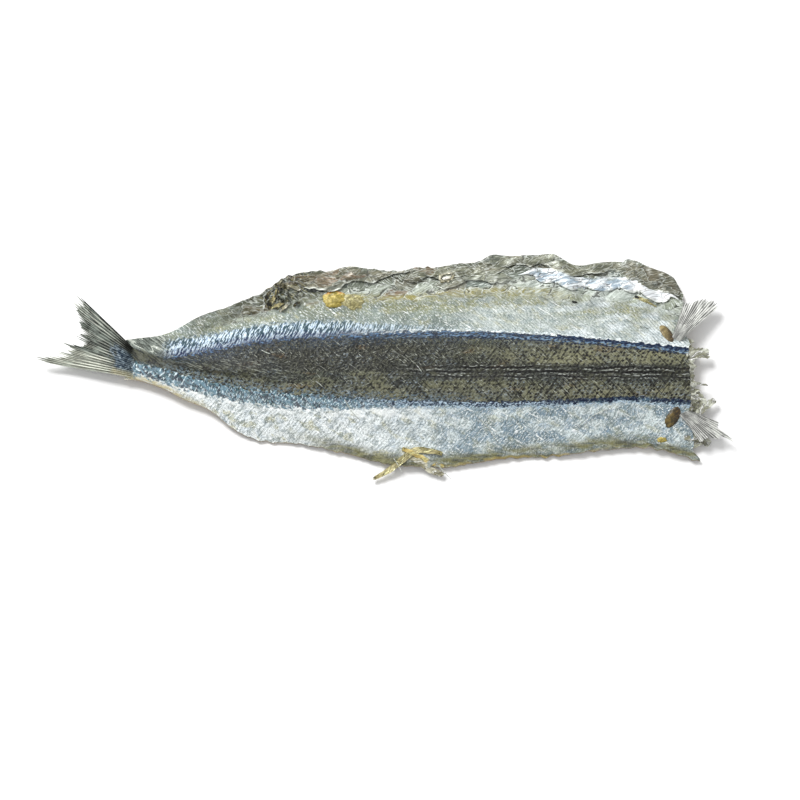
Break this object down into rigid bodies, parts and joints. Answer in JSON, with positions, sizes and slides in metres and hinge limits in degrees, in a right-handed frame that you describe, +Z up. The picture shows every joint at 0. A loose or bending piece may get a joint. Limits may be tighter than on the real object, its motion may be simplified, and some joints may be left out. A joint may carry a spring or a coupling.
{
  "type": "dried needlefish",
  "caption": "Headless needlefish split along the belly, opened flat and dried, lying skin side up: dark back, silver flanks, ruffled belly wall, forked tail fin on its side.",
  "frame": {"origin": "middle of the footprint, on the surface that the fish lies on", "axes": "+X along the fish from the tail fin to the cut behind the head, +Y to the ruffled side, +Z up from the flesh side to the skin side"},
  "size_m": [0.3148, 0.1026, 0.0099],
  "materials": {
    "skin": "dried fish skin: dark olive grey back, blue and silver flanks, satin to glossy",
    "fin": "dried fin rays and thin fin skin, grey to cream, satin",
    "flesh": "dried translucent flesh and torn belly skin, beige to golden, satin"
  },
  "bodies": {
    "root": {"dried_needlefish": "skin"}
  },
  "joints": []
}
